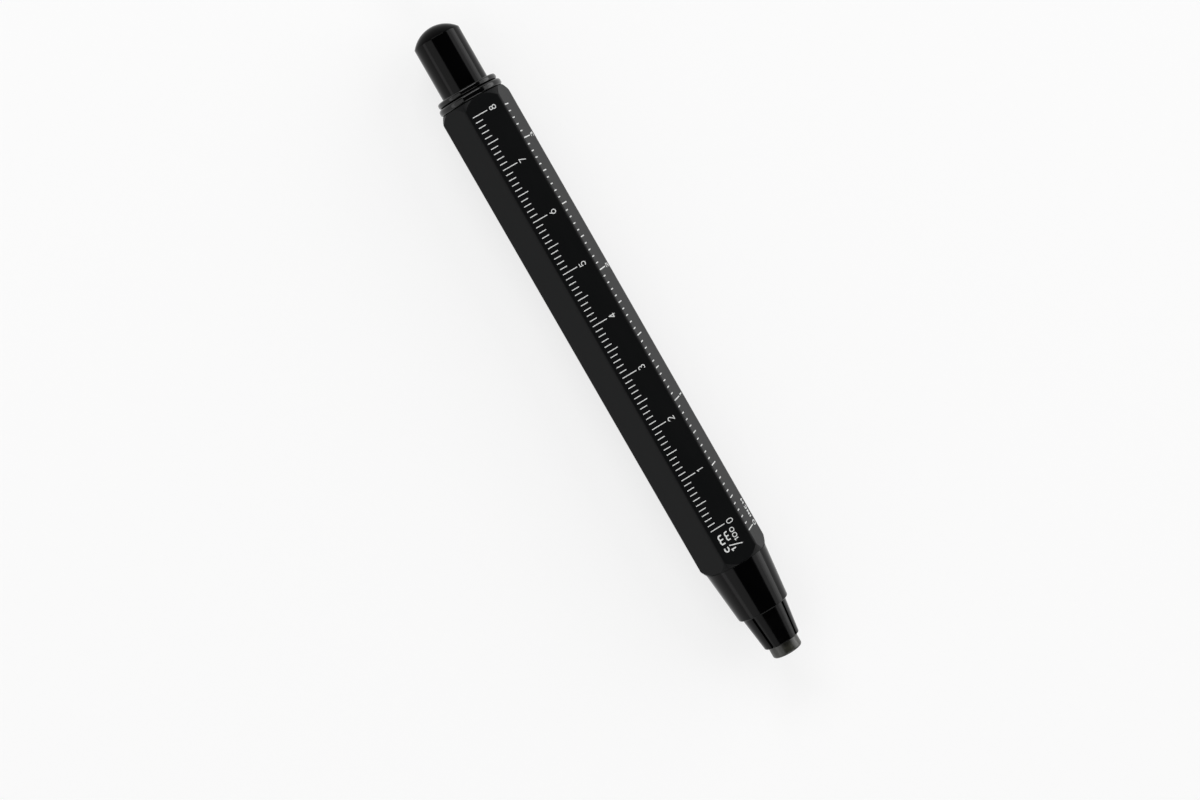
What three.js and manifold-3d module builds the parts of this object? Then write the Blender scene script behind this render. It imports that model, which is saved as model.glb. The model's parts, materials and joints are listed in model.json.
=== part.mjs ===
// A carpenter's clutch pencil: a hexagonal metal barrel, a screwed nose cone, a collet of
// four jaws that grips a thick lead, and a sprung push button with a lead sharpener inside.
// Millimetres, +Z up. The pencil lies along X with its nose towards -X and the flat that
// carries the centimetre scale on top.

import * as THREE from 'three';
import { mergeVertices } from 'three/addons/utils/BufferGeometryUtils.js';
import Module from 'manifold-3d';

const wasm = await Module();
wasm.setup();

// Driving dimensions. A station is a distance along the axis from the barrel's front end,
// positive towards the button.

// Barrel
const acrossFlats = 11.3;
const edgeRadius = 0.6;
const barrelLength = 90;
const endChamferLength = 1.3;
const chamferOverrun = 0.5;
const endFaceDiameter = 11.5;
const boreDiameter = 8.9;
const threadDiameter = 9.9;
const threadDepth = 7;

// Nose cone
const noseLength = 9.7;
const noseTipDiameter = 9.5;
const noseRimRadius = 0.25;
const noseNeckLength = 6.5;
const noseNeckBoreDiameter = 8.9;
const noseChamberDiameter = 8;
const throatDiameter = 7.56;
const throatFlareLength = 0.5;

// Lead
const leadDiameter = 5.5;
const leadLength = 80;
const leadReach = 2.2;
const leadTipRadius = 0.45;
const leadTailChamfer = 0.1;

// Collet
const jawCount = 4;
const jawReach = 6.5;
const jawHeadDiameter = 8.38;
const jawTipDiameter = 6.64;
const jawTipRadius = 0.2;
const gripLength = 6;
const gripLeadInLength = 0.6;
const backTaperLength = 3.3;
const legWall = 0.45;
const legBoreDiameter = 5.9;
const legRootStation = 5;
const slitWidth = 0.45;
const colletTurnDegrees = -4;
const sleeveLength = 9;
const sleeveSocketLength = 6;

// Push travel, from rest to where the collet sleeve nears the step in the nose cone
const pushStroke = 4.5;
const strokeMargin = 0.2;

// Lead tube and its ferrule
const tubeBoreDiameter = 6;
const tubeWall = 0.4;
const tubeSeatDepth = 9.6;
const ferruleLength = 8;

// Guide bush, washers and return spring
const guideLength = 8;
const guideStation = 42;
const washerThickness = 0.5;
const springTurns = 13;
const springMeanDiameter = 7.86;
const springWireDiameter = 0.56;

// Rear collar and the ring that it clamps against the barrel
const clampRingWidth = 1.26;
const clampRingDiameter = 11.72;
const clampRingRounding = 0.5;
const collarHeadWidth = 1.02;
const collarHeadDiameter = 11.06;
const collarRounding = 0.42;
const collarNeckLength = 6.5;

// Push button
const buttonDiameter = 8.55;
const buttonVisibleLength = 9.7;
const buttonSkirtLength = 17.9;
const buttonDomeHeight = 2.1;
const buttonWall = 0.42;
const buttonEndWall = 1.7;
const skirtChamfer = 0.2;

// Lead sharpener inside the button
const sharpenerLength = 13;
const sharpenerConeLength = 11.6;
const sharpenerMouthDiameter = 5.8;
const sharpenerPointDiameter = 1;
const sharpenerEndGap = 0.3;
const shavingSlot = 0.2;
const bladeLength = 9;
const bladeWidth = 2.8;
const bladeThickness = 0.45;
const bladeSetback = 1.8;
const bladeOverhang = 0.4;
const bladeScrewDiameter = 0.9;
const bladeScrewHeadDiameter = 1.5;
const bladeScrewHeadHeight = 0.35;
const bladeScrewLength = 1.6;
const bladeScrewStation = 9.4;
const bladeScrewOffset = 1.65;

// Clearances
const seatGap = 0.02;
const bladeGap = 0.05;
const threadClearance = 0.05;
const slideClearance = 0.1;
const gripClearance = 0.03;
const colletSeatClearance = 0.06;
const flexGap = 0.3;

// Facets
const outerSides = 72;
const innerSides = 36;
const screwSides = 16;
const edgeSteps = 4;
const roundSteps = 4;
const domeSteps = 7;
const springStepsPerTurn = 8;
const springSides = 5;
const mergeDistance = 1e-4;
const cutOverrun = 1;

const degrees = Math.PI / 180;

// Radii and stations that follow from the driving dimensions
const boreRadius = boreDiameter / 2;
const threadRadius = threadDiameter / 2;
const endFaceRadius = endFaceDiameter / 2;
const cornerReach = (acrossFlats / 2 - edgeRadius) / Math.cos(30 * degrees) + edgeRadius;
const leadRadius = leadDiameter / 2;
const noseTip = -noseLength;
const jawFront = noseTip - jawReach;
const jawHead = noseTip - seatGap;
const jawHeadRadius = jawHeadDiameter / 2;
const legRadius = legBoreDiameter / 2 + legWall;
const backTaperSlope = (jawHeadRadius - legRadius) / backTaperLength;
const leadTip = jawFront - leadReach;
const sleeveFront = legRootStation + flexGap;
const sleeveEnd = sleeveFront + sleeveLength;
const sleeveStop = sleeveFront - pushStroke - strokeMargin;
const tubeRadius = tubeBoreDiameter / 2 + tubeWall;
const tubeFront = sleeveEnd - sleeveSocketLength + seatGap;
const collarHeadStart = barrelLength + clampRingWidth + 2 * seatGap;
const collarHeadEnd = collarHeadStart + collarHeadWidth;
const buttonRadius = buttonDiameter / 2;
const buttonRim = collarHeadEnd + buttonVisibleLength;
const buttonApex = buttonRim + buttonDomeHeight;
const buttonFront = collarHeadEnd - buttonSkirtLength;
const buttonBoreRadius = buttonRadius - buttonWall;
const buttonBoreEnd = buttonRim - buttonEndWall;
const tubeEnd = buttonFront + tubeSeatDepth;
const guideEnd = guideStation + guideLength;
const frontWasher = guideEnd + seatGap;
const rearWasher = buttonFront - slideClearance - washerThickness;
const springFront = frontWasher + washerThickness + seatGap;
const springEnd = rearWasher - seatGap;
const sharpenerEnd = buttonBoreEnd - sharpenerEndGap;
const sharpenerFront = sharpenerEnd - sharpenerLength;
const axisHeight = Math.max(clampRingDiameter, acrossFlats) / 2;
const middleStation = (leadTip + buttonApex) / 2;

// A point of a lathe profile, from a station and a radius
function at(station, radius) {
  return new THREE.Vector2(radius, station);
}

// Points on the round of a profile's edge: angle 0 points along +X, 90 degrees outwards
function edgeRound(centreStation, centreRadius, radius, fromDegrees, toDegrees, steps = roundSteps) {
  const points = [];
  for (let step = 0; step <= steps; step += 1) {
    const angle = (fromDegrees + ((toDegrees - fromDegrees) * step) / steps) * degrees;
    points.push(at(centreStation + radius * Math.cos(angle), centreRadius + radius * Math.sin(angle)));
  }
  return points;
}

// A profile that closes on itself, or starts and ends on the axis, turned about the X axis
function turned(profile, sides) {
  const onAxis = profile[0].x === 0 && profile[profile.length - 1].x === 0;
  const outline = onAxis ? [...profile] : [...profile, profile[0].clone()];
  if (THREE.ShapeUtils.area(outline) < 0) {
    outline.reverse();
  }
  const geometry = new THREE.LatheGeometry(outline, sides);
  geometry.rotateZ(-90 * degrees);
  return geometry;
}

// A plain ring or tube between two stations
function tube(start, end, innerRadius, outerRadius, sides = innerSides) {
  return turned([
    at(start, innerRadius),
    at(start, outerRadius),
    at(end, outerRadius),
    at(end, innerRadius),
  ], sides);
}

// A plain round bar between two stations
function bar(start, end, radius, sides = innerSides) {
  return turned([at(start, 0), at(start, radius), at(end, radius), at(end, 0)], sides);
}

// The same surface with only its positions, and with the vertices that meet merged
function withIndex(geometry) {
  const plain = new THREE.BufferGeometry();
  plain.setAttribute('position', geometry.getAttribute('position'));
  plain.setIndex(geometry.index);
  return mergeVertices(plain, mergeDistance);
}

// A geometry as a closed solid for cutting, without its empty triangles
function solidOf(geometry) {
  const merged = withIndex(geometry);
  const corners = merged.index.array;
  const kept = [];
  for (let i = 0; i < corners.length; i += 3) {
    const [a, b, c] = [corners[i], corners[i + 1], corners[i + 2]];
    if (a !== b && b !== c && c !== a) {
      kept.push(a, b, c);
    }
  }
  return new wasm.Manifold(new wasm.Mesh({
    numProp: 3,
    vertProperties: new Float32Array(merged.getAttribute('position').array),
    triVerts: new Uint32Array(kept),
  }));
}

// A cut solid as a geometry again
function geometryOf(solid) {
  const mesh = solid.getMesh();
  const geometry = new THREE.BufferGeometry();
  geometry.setAttribute('position', new THREE.BufferAttribute(mesh.vertProperties, 3));
  geometry.setIndex(new THREE.BufferAttribute(mesh.triVerts, 1));
  geometry.computeVertexNormals();
  return geometry;
}

// A hexagon with rounded corners and flats at the top and bottom
function hexagonShape() {
  const centreReach = cornerReach - edgeRadius;
  const points = [];
  for (let corner = 0; corner < 6; corner += 1) {
    const middle = corner * 60 * degrees;
    for (let step = 0; step <= edgeSteps; step += 1) {
      const angle = middle + (step / edgeSteps - 0.5) * 60 * degrees;
      points.push(new THREE.Vector2(
        centreReach * Math.cos(middle) + edgeRadius * Math.cos(angle),
        centreReach * Math.sin(middle) + edgeRadius * Math.sin(angle),
      ));
    }
  }
  return new THREE.Shape(points);
}

// The hexagonal tube: turned chamfers at its ends, a bore and a thread recess at each end
function barrelGeometry() {
  const prism = new THREE.ExtrudeGeometry(hexagonShape(), { depth: barrelLength, bevelEnabled: false });
  const hexagon = withIndex(prism);
  hexagon.rotateY(90 * degrees);
  hexagon.rotateX(90 * degrees);
  const chamferSlope = (cornerReach - endFaceRadius) / endChamferLength;
  const chamferEnd = endChamferLength + chamferOverrun;
  const clearRadius = cornerReach + chamferOverrun * chamferSlope;
  const envelope = turned([
    at(0, 0),
    at(0, endFaceRadius),
    at(chamferEnd, clearRadius),
    at(barrelLength - chamferEnd, clearRadius),
    at(barrelLength, endFaceRadius),
    at(barrelLength, 0),
  ], outerSides);
  const bores = turned([
    at(-cutOverrun, 0),
    at(-cutOverrun, threadRadius),
    at(threadDepth, threadRadius),
    at(threadDepth, boreRadius),
    at(barrelLength - threadDepth, boreRadius),
    at(barrelLength - threadDepth, threadRadius),
    at(barrelLength + cutOverrun, threadRadius),
    at(barrelLength + cutOverrun, 0),
  ], outerSides);
  return geometryOf(solidOf(hexagon).intersect(solidOf(envelope)).subtract(solidOf(bores)));
}

// The cone, its threaded neck in the barrel, and the tapered seat that closes the jaws
function noseConeGeometry() {
  const seatAt = (radius) => jawHead + (jawHeadRadius + colletSeatClearance - radius) / backTaperSlope;
  const throatRadius = throatDiameter / 2;
  const mouthRadius = jawHeadRadius + colletSeatClearance - (noseTip - jawHead) * backTaperSlope;
  const chamberRadius = noseChamberDiameter / 2;
  const tipRadius = noseTipDiameter / 2;
  const sideDegrees = 90 + Math.atan2(endFaceRadius - tipRadius, noseLength) / degrees;
  const rim = edgeRound(noseTip + noseRimRadius, tipRadius - noseRimRadius, noseRimRadius, 180, sideDegrees);
  return turned([
    at(noseTip, mouthRadius),
    ...rim,
    at(-seatGap, endFaceRadius),
    at(-seatGap, threadRadius - threadClearance),
    at(noseNeckLength, threadRadius - threadClearance),
    at(noseNeckLength, noseNeckBoreDiameter / 2),
    at(sleeveStop, noseNeckBoreDiameter / 2),
    at(sleeveStop, chamberRadius),
    at(seatAt(throatRadius) + throatFlareLength, chamberRadius),
    at(seatAt(throatRadius), throatRadius),
  ], outerSides);
}

// The collet's jaws and legs before they are slit
function colletRing() {
  const gripRadius = leadRadius + gripClearance;
  const legBore = legBoreDiameter / 2;
  const gripEnd = jawFront + gripLength;
  const tipRadius = jawTipDiameter / 2;
  const sideDegrees = 90 + Math.atan2(jawHeadRadius - tipRadius, jawReach) / degrees;
  const rim = edgeRound(jawFront + jawTipRadius, tipRadius - jawTipRadius, jawTipRadius, 180, sideDegrees);
  return turned([
    at(jawFront, gripRadius),
    ...rim,
    at(jawHead, jawHeadRadius),
    at(jawHead + backTaperLength, legRadius),
    at(legRootStation, legRadius),
    at(legRootStation, legBore),
    at(gripEnd + gripLeadInLength, legBore),
    at(gripEnd, gripRadius),
  ], outerSides);
}

// One jaw: the sector of the ring between two slits
function jawGeometry(index) {
  const size = jawHeadDiameter;
  const length = legRootStation - jawFront + 2 * cutOverrun;
  const middle = (size + slitWidth) / 2;
  const sector = new THREE.BoxGeometry(length, size, size);
  sector.translate((legRootStation + jawFront) / 2, middle, middle);
  sector.rotateX((45 + (index * 360) / jawCount + colletTurnDegrees) * degrees);
  return geometryOf(solidOf(colletRing()).intersect(solidOf(sector)));
}

// The sleeve that carries the jaws' legs and screws onto the lead tube
function colletSleeveGeometry() {
  const outer = noseNeckBoreDiameter / 2 - slideClearance;
  const socket = tubeRadius + threadClearance;
  return turned([
    at(sleeveFront, legBoreDiameter / 2),
    at(sleeveFront, outer - skirtChamfer),
    at(sleeveFront + skirtChamfer, outer),
    at(sleeveEnd, outer),
    at(sleeveEnd, socket),
    at(sleeveEnd - sleeveSocketLength, socket),
    at(sleeveEnd - sleeveSocketLength, legBoreDiameter / 2),
  ], innerSides);
}

// The lead with its blunt rounded tip
function leadGeometry() {
  const tail = leadTip + leadLength;
  return turned([
    at(leadTip, 0),
    ...edgeRound(leadTip + leadTipRadius, leadRadius - leadTipRadius, leadTipRadius, 180, 90),
    at(tail - leadTailChamfer, leadRadius),
    at(tail, leadRadius - leadTailChamfer),
    at(tail, 0),
  ], innerSides);
}

// A point on the return spring's wire centre line
function springPoint(turns, pitch) {
  const angle = turns * 360 * degrees;
  const radius = springMeanDiameter / 2;
  const station = springFront + springWireDiameter / 2 + pitch * turns;
  return new THREE.Vector3(station, radius * Math.cos(angle), radius * Math.sin(angle));
}

// The return spring as one unbroken wire, five-sided, with closed ends
function returnSpringGeometry() {
  const pitch = (springEnd - springFront - springWireDiameter) / springTurns;
  const steps = springTurns * springStepsPerTurn;
  const wire = springWireDiameter / 2;
  const positions = [];
  const triangles = [];
  for (let step = 0; step <= steps; step += 1) {
    const turns = step / springStepsPerTurn;
    const centre = springPoint(turns, pitch);
    const outward = new THREE.Vector3(0, centre.y, centre.z).normalize();
    const along = new THREE.Vector3(0, -centre.z, centre.y).multiplyScalar(360 * degrees);
    along.setX(pitch).normalize();
    const across = new THREE.Vector3().crossVectors(along, outward);
    for (let side = 0; side < springSides; side += 1) {
      const angle = (side / springSides) * 360 * degrees;
      const point = centre.clone();
      point.addScaledVector(outward, wire * Math.cos(angle));
      point.addScaledVector(across, wire * Math.sin(angle));
      positions.push(point.x, point.y, point.z);
      if (step < steps) {
        const next = (side + 1) % springSides;
        const [a, b] = [step * springSides + side, step * springSides + next];
        triangles.push(a, b, b + springSides, a, b + springSides, a + springSides);
      }
    }
  }
  const last = steps * springSides;
  for (let side = 1; side < springSides - 1; side += 1) {
    triangles.push(0, side + 1, side);
    triangles.push(last, last + side, last + side + 1);
  }
  const geometry = new THREE.BufferGeometry();
  geometry.setAttribute('position', new THREE.Float32BufferAttribute(positions, 3));
  geometry.setIndex(triangles);
  geometry.computeVertexNormals();
  return geometry;
}

// The ring behind the barrel, with a rounded rim
function clampRingGeometry() {
  const start = barrelLength + seatGap;
  const end = start + clampRingWidth;
  const crest = clampRingDiameter / 2 - clampRingRounding;
  return turned([
    at(start, threadRadius),
    ...edgeRound(start + clampRingRounding, crest, clampRingRounding, 180, 90),
    ...edgeRound(end - clampRingRounding, crest, clampRingRounding, 90, 0),
    at(end, threadRadius),
  ], outerSides);
}

// The rear collar: a threaded neck in the barrel, a rounded head, and the button's bore
function rearCollarGeometry() {
  const neckRadius = threadRadius - threadClearance;
  const bore = buttonRadius + slideClearance;
  const crest = collarHeadDiameter / 2 - collarRounding;
  return turned([
    at(barrelLength - collarNeckLength, bore),
    at(barrelLength - collarNeckLength, neckRadius),
    at(collarHeadStart, neckRadius),
    ...edgeRound(collarHeadStart + collarRounding, crest, collarRounding, 180, 90),
    ...edgeRound(collarHeadEnd - collarRounding, crest, collarRounding, 90, 0),
    at(collarHeadEnd, bore),
  ], outerSides);
}

// The button: a long skirt that slides in the collar, closed by a low dome
function pushButtonGeometry() {
  const domeRadius = (buttonRadius ** 2 + buttonDomeHeight ** 2) / (2 * buttonDomeHeight);
  const domeCentre = buttonApex - domeRadius;
  const rimDegrees = Math.asin(buttonRadius / domeRadius) / degrees;
  const dome = edgeRound(domeCentre, 0, domeRadius, rimDegrees, 0, domeSteps);
  dome[dome.length - 1].setX(0);
  const shell = turned([
    at(buttonFront, 0),
    at(buttonFront, buttonRadius - skirtChamfer),
    at(buttonFront + skirtChamfer, buttonRadius),
    ...dome,
  ], outerSides);
  const bore = bar(buttonFront - cutOverrun, buttonBoreEnd, buttonBoreRadius, outerSides);
  return geometryOf(solidOf(shell).subtract(solidOf(bore)));
}

// Moves a piece that stands on z = 0 onto the sharpener's flat. The flat runs along the side
// of the lead's cone, a little inside it, so that the cone opens through it as a slot.
function onFlat(geometry, along, across, lift) {
  const mouth = sharpenerMouthDiameter / 2;
  const slope = Math.atan2(mouth - sharpenerPointDiameter / 2, sharpenerConeLength);
  geometry.translate(along, across, lift);
  geometry.rotateY(slope);
  geometry.translate(sharpenerFront, 0, mouth - shavingSlot);
  return geometry;
}

// A block whose lower face lies on z = 0, with its front end at x = 0
function block(length, width, height) {
  const geometry = new THREE.BoxGeometry(length, width, height);
  geometry.translate(length / 2, 0, height / 2);
  return geometry;
}

// A round bar that stands on z = 0
function post(radius, height) {
  const geometry = bar(0, height, radius, screwSides);
  geometry.rotateY(-90 * degrees);
  return geometry;
}

// The sharpener's body with its conical hole, the blade's flat and the screw's hole
function sharpenerBodyGeometry() {
  const body = bar(sharpenerFront, sharpenerEnd, buttonBoreRadius - threadClearance);
  const cone = turned([
    at(sharpenerFront - cutOverrun, 0),
    at(sharpenerFront - cutOverrun, sharpenerMouthDiameter / 2),
    at(sharpenerFront, sharpenerMouthDiameter / 2),
    at(sharpenerFront + sharpenerConeLength, sharpenerPointDiameter / 2),
    at(sharpenerFront + sharpenerConeLength, 0),
  ], innerSides);
  const space = block(sharpenerLength + 4 * cutOverrun, buttonDiameter, buttonDiameter);
  const flat = onFlat(space, -2 * cutOverrun, 0, 0);
  const drill = post(bladeScrewDiameter / 2 + threadClearance, bladeScrewLength + cutOverrun);
  const hole = onFlat(drill, bladeScrewStation, bladeScrewOffset, -bladeScrewLength);
  return geometryOf(solidOf(body).subtract(solidOf(cone)).subtract(solidOf(flat)).subtract(solidOf(hole)));
}

// The blade, whose long edge lies over the slot
function sharpenerBladeGeometry() {
  const across = bladeWidth / 2 - bladeOverhang;
  const plate = onFlat(block(bladeLength, bladeWidth, bladeThickness), bladeSetback, across, bladeGap);
  const drill = post(bladeScrewDiameter / 2 + threadClearance, bladeThickness + 2 * cutOverrun);
  const hole = onFlat(drill, bladeScrewStation, bladeScrewOffset, -cutOverrun);
  return geometryOf(solidOf(plate).subtract(solidOf(hole)));
}

// The screw that holds the blade, with a flat round head
function bladeScrewGeometry() {
  const headStart = 2 * bladeGap + bladeThickness;
  const end = bladeGap - bladeScrewLength;
  const screw = turned([
    at(end, 0),
    at(end, bladeScrewDiameter / 2),
    at(headStart, bladeScrewDiameter / 2),
    at(headStart, bladeScrewHeadDiameter / 2),
    at(headStart + bladeScrewHeadHeight, bladeScrewHeadDiameter / 2),
    at(headStart + bladeScrewHeadHeight, 0),
  ], screwSides);
  screw.rotateY(-90 * degrees);
  return onFlat(screw, bladeScrewStation, bladeScrewOffset, 0);
}

const satinBlack = { color: 0x17181a, roughness: 0.55, metalness: 0.3 };
const glossBlack = { color: 0x0c0c0d, roughness: 0.22, metalness: 0.3 };
const blackenedSteel = { color: 0x1b1b1c, roughness: 0.35, metalness: 0.7 };
const brass = { color: 0xb8964e, roughness: 0.35, metalness: 1 };
const steel = { color: 0xb4b6b8, roughness: 0.3, metalness: 1 };
const blackPlastic = { color: 0x1a1a1a, roughness: 0.5, metalness: 0 };
const graphite = { color: 0x3b3b36, roughness: 0.6, metalness: 0.1 };

const pencil = new THREE.Group();

// Adds one named piece, placed so that the whole pencil's box stands centred on the origin
function add(name, geometry, finish) {
  const mesh = new THREE.Mesh(geometry, new THREE.MeshStandardMaterial(finish));
  mesh.name = name;
  mesh.position.set(-middleStation, 0, axisHeight);
  pencil.add(mesh);
}

const washerBore = tubeRadius + slideClearance;
const washerRadius = boreRadius - slideClearance;
const ferruleStart = tubeEnd - ferruleLength;

add('barrel', barrelGeometry(), satinBlack);
add('nose_cone', noseConeGeometry(), glossBlack);
for (let index = 0; index < jawCount; index += 1) {
  add(`collet_jaw_${index + 1}`, jawGeometry(index), blackenedSteel);
}
add('collet_sleeve', colletSleeveGeometry(), brass);
add('lead', leadGeometry(), graphite);
add('lead_tube', tube(tubeFront, tubeEnd, tubeBoreDiameter / 2, tubeRadius), brass);
add('guide_bush', tube(guideStation, guideEnd, washerBore, boreRadius - threadClearance), blackPlastic);
add('front_washer', tube(frontWasher, frontWasher + washerThickness, washerBore, washerRadius), steel);
add('return_spring', returnSpringGeometry(), steel);
add('rear_washer', tube(rearWasher, rearWasher + washerThickness, washerBore, washerRadius), steel);
add('clamp_ring', clampRingGeometry(), glossBlack);
add('rear_collar', rearCollarGeometry(), glossBlack);
add('push_button', pushButtonGeometry(), glossBlack);
const ferruleBore = tubeRadius + threadClearance;
add('tube_ferrule', tube(ferruleStart, tubeEnd, ferruleBore, buttonBoreRadius - threadClearance), brass);
add('sharpener_body', sharpenerBodyGeometry(), blackPlastic);
add('sharpener_blade', sharpenerBladeGeometry(), steel);
add('blade_screw', bladeScrewGeometry(), steel);

export default pencil;
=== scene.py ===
# A carpenter's clutch pencil that lies on a pale floor: a hexagonal barrel with two printed
# rules, a nose cone, a slit collet with a thick lead, a beaded collar and a push button.
# Metres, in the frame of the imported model: +X runs from the lead to the button, +Z is up.

import json
import math

import bmesh
import bpy
from mathutils import Matrix, Vector


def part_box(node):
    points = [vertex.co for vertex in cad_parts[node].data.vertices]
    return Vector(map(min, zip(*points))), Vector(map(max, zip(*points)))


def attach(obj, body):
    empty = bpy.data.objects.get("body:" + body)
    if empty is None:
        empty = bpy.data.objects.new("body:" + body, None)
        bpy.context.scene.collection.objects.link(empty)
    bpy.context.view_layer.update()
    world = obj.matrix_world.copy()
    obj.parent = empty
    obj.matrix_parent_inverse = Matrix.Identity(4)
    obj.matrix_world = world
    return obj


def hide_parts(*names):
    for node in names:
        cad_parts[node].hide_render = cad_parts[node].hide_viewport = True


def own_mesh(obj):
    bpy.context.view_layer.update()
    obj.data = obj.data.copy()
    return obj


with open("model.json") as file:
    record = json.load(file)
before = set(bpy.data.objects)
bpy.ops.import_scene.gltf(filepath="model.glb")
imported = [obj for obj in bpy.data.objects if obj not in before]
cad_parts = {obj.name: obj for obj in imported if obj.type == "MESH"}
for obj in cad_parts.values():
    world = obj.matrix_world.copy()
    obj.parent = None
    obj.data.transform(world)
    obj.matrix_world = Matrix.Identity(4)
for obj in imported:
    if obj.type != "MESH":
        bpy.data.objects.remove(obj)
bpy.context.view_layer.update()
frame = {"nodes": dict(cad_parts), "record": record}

MM = 0.001

# Places along the pencil and its axis, from the frame
BARREL_LOW, BARREL_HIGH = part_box("barrel")
FRONT_END = BARREL_LOW.x
REAR_END = BARREL_HIGH.x
AXIS_HEIGHT = (BARREL_LOW.z + BARREL_HIGH.z) / 2
ACROSS_FLATS = BARREL_HIGH.z - BARREL_LOW.z
CORNER_REACH = (BARREL_HIGH.y - BARREL_LOW.y) / 2
NOSE_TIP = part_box("nose_cone")[0].x
NECK_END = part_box("nose_cone")[1].x
JAW_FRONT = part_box("collet_jaw_1")[0].x
JAW_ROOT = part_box("collet_jaw_1")[1].x
LEAD_TIP, LEAD_TAIL = (corner.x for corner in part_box("lead"))
RING_FRONT, RING_REAR = (corner.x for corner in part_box("clamp_ring"))
COLLAR_FRONT, COLLAR_REAR = (corner.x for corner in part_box("rear_collar"))
BUTTON_FRONT, BUTTON_APEX = (corner.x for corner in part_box("push_button"))
SPRING_FRONT, SPRING_REAR = (corner.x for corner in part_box("return_spring"))


def radius_of(node):
    """The outer radius of a round piece, from its node's box."""
    low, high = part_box(node)
    return (high.z - low.z) / 2


RING_RADIUS = radius_of("clamp_ring")
COLLAR_RADIUS = radius_of("rear_collar")
BUTTON_RADIUS = radius_of("push_button")
LEAD_RADIUS = radius_of("lead")
SPRING_RADIUS = radius_of("return_spring")

# Barrel
EDGE_RADIUS = 0.6 * MM
END_FACE_RADIUS = 5.75 * MM
END_CHAMFER = 1.3 * MM
EDGE_BREAK = 0.04 * MM
BORE_RADIUS = 4.45 * MM
RECESS_RADIUS = 4.95 * MM
RECESS_DEPTH = 7 * MM
DRILL_OVERRUN = 1 * MM

# Nose cone
SEAT_GAP = 0.02 * MM
NECK_RADIUS = 4.9 * MM
NECK_BORE_RADIUS = 4.45 * MM
CHAMBER_RADIUS = 4 * MM
CHAMBER_END = 0.6 * MM
THROAT_RADIUS = 3.78 * MM
THROAT_FLARE = 0.5 * MM
NOSE_TIP_RADIUS = 4.75 * MM
NOSE_RIM_ROUND = 0.25 * MM
MOUTH_CHAMFER = 0.06 * MM
MOUTH_ROUND = 0.02 * MM
SEAT_ROUND = 0.05 * MM
COLLET_CLEARANCE = 0.06 * MM

# Collet
JAW_COUNT = 4
JAW_HEAD_RADIUS = 4.19 * MM
JAW_TIP_RADIUS = 3.32 * MM
JAW_TIP_ROUND = 0.2 * MM
JAW_SHOULDER_ROUND = 0.05 * MM
JAW_GRIP_RADIUS = 2.78 * MM
JAW_GRIP_ROUND = 0.06 * MM
JAW_GRIP_LENGTH = 6 * MM
JAW_LEAD_IN = 0.6 * MM
BACK_TAPER = 3.3 * MM
LEG_OUTER_RADIUS = 3.4 * MM
LEG_INNER_RADIUS = 2.95 * MM
SLIT_WIDTH = 0.45 * MM
COLLET_TURN = math.radians(-4)
JAW_EDGE_BREAK = 0.05 * MM

# Lead, beads and button
LEAD_TIP_ROUND = 0.45 * MM
LEAD_TAIL_CHAMFER = 0.1 * MM
RING_ROUND = 0.5 * MM
COLLAR_NECK_RADIUS = 4.9 * MM
COLLAR_HEAD_WIDTH = 1.02 * MM
COLLAR_ROUND = 0.42 * MM
COLLAR_LIP_ROUND = 0.05 * MM
SLIDE_CLEARANCE = 0.1 * MM
BUTTON_DOME_HEIGHT = 2.1 * MM
BUTTON_RIM_ROUND = 0.3 * MM
BUTTON_SKIRT_CHAMFER = 0.2 * MM
BUTTON_WALL = 0.42 * MM
BUTTON_END_WALL = 1.7 * MM

# Return spring. The pitch of its closed turns counts in radii of the wire.
SPRING_TURNS = 13
SPRING_WIRE_RADIUS = 0.28 * MM
CLOSED_TURN_PITCH = 2.08

# Printed rules. Distances across a flat count from the flat's middle line, towards the
# flat that carries no rule.
INK_THICKNESS = 0.012 * MM
STROKE_STEP = 0.001 * MM
CM_ZERO = -35.66 * MM
CM_COUNT = 81
CM_SPACING = 1 * MM
CM_NUMBERS = 9
CM_NUMBER_EVERY = 10
CM_TICK_WIDTH = 0.145 * MM
CM_TICK_START = 2.57 * MM
CM_TICKS = (1.35 * MM, 1.97 * MM, 2.78 * MM, 2.78 * MM)
CM_NUMBER_TOP = -0.62 * MM
CM_NUMBER_HEIGHT = 1.24 * MM
CM_NUMBER_LINE = 0.14 * MM
INCH_ZERO = -38.81 * MM
INCH_COUNT = 66
INCH_SPACING = 1.27 * MM
INCH_NUMBERS = 4
INCH_NUMBER_EVERY = 20
INCH_TICK_WIDTH = 0.2 * MM
INCH_TICK_START = 3 * MM
INCH_TICKS = (1.2 * MM, 1.9 * MM, 2.75 * MM, 3.45 * MM)
INCH_NUMBER_TOP = -1.1 * MM
INCH_NUMBER_HEIGHT = 1.4 * MM
INCH_NUMBER_LINE = 0.2 * MM

# Labels of the rules: each word has its left edge, counted from the rule's zero, its top,
# its height, how much wider than usual its letters are, its line width and the gap between
# its letters
CM_LABEL = (
    ("cm", -4.53 * MM, 2.13 * MM, 0.95 * MM, 1.8, 0.25 * MM, 0.38 * MM),
    ("1", -4.88 * MM, 0.97 * MM, 1.0 * MM, 1.8, 0.23 * MM, 0),
    ("/", -4.43 * MM, 1.03 * MM, 2.44 * MM, 0.84, 0.18 * MM, 0),
    ("m", -2.85 * MM, 0.84 * MM, 0.8 * MM, 1.95, 0.22 * MM, 0),
    ("100", -3.5 * MM, -0.36 * MM, 0.87 * MM, 1.45, 0.14 * MM, 0.19 * MM),
)
INCH_LABEL = (
    ("INCH", 1.14 * MM, -1.2 * MM, 1.2 * MM, 0.98, 0.25 * MM, 0.19 * MM),
)

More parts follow.
